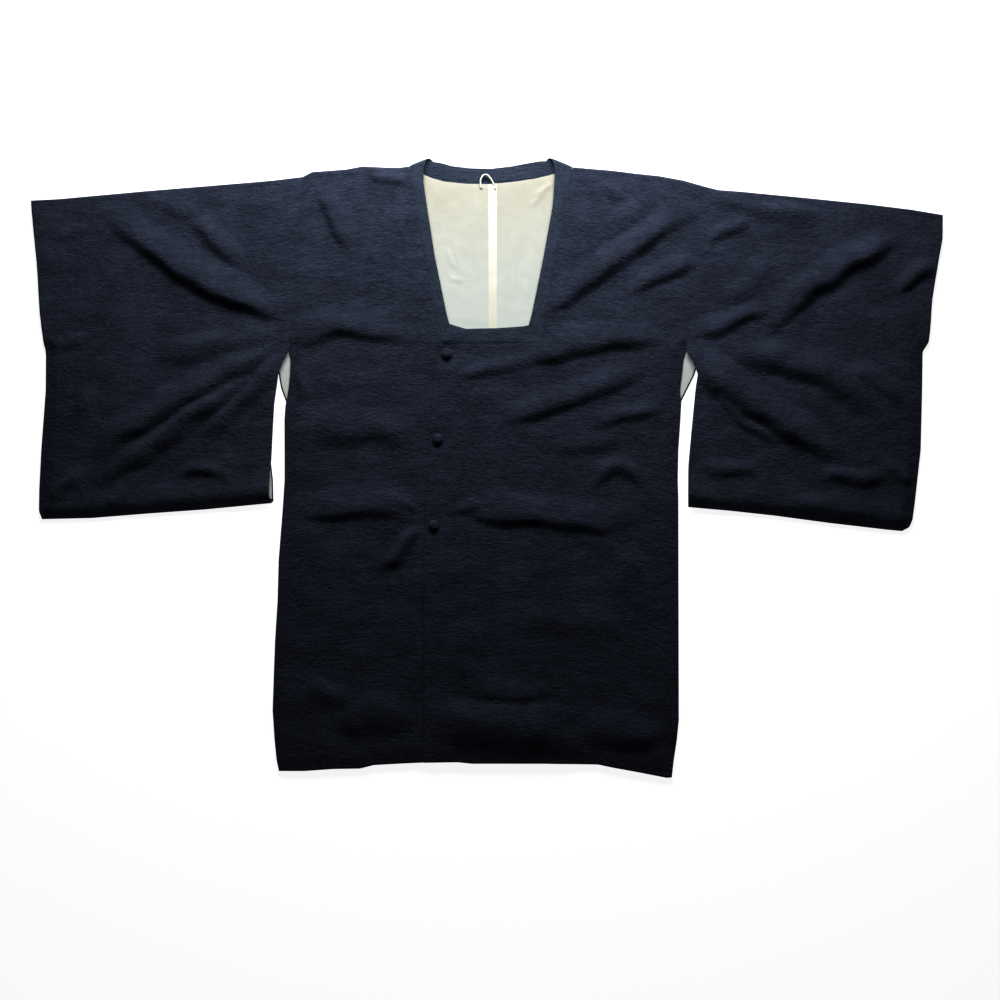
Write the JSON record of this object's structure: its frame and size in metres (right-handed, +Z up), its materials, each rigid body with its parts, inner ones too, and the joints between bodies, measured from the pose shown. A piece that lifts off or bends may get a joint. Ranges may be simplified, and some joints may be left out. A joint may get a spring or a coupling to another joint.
{
  "type": "kimono coat",
  "caption": "Square-necked kimono coat of dark crepe with a pale lining, laid flat and buttoned, with wide sleeves.",
  "frame": {"origin": "on the surface that the coat lies on, at the middle of its outline", "axes": "+Y towards the neck, +X towards the wearer's left sleeve, +Z up off the surface; the fronts face up"},
  "size_m": [1.3, 0.8829, 0.0129],
  "materials": {
    "crepe": "dark navy silk crepe, matt with a faint slub",
    "collar_crepe": "the same crepe, folded double over an interlining",
    "button_crepe": "crepe stretched over a domed button",
    "lining_silk": "pale smooth lining silk",
    "loop_silk": "rolled strip of lining silk"
  },
  "bodies": {
    "root": {"body_right": "crepe", "body_left": "crepe", "sleeve_right": "crepe", "sleeve_left": "crepe", "collar": "collar_crepe", "back_lining_right": "lining_silk", "back_lining_left": "lining_silk", "sleeve_lining_right": "lining_silk", "sleeve_lining_left": "lining_silk", "button_1": "button_crepe", "button_2": "button_crepe", "button_3": "button_crepe", "hanging_loop": "loop_silk"}
  },
  "joints": []
}
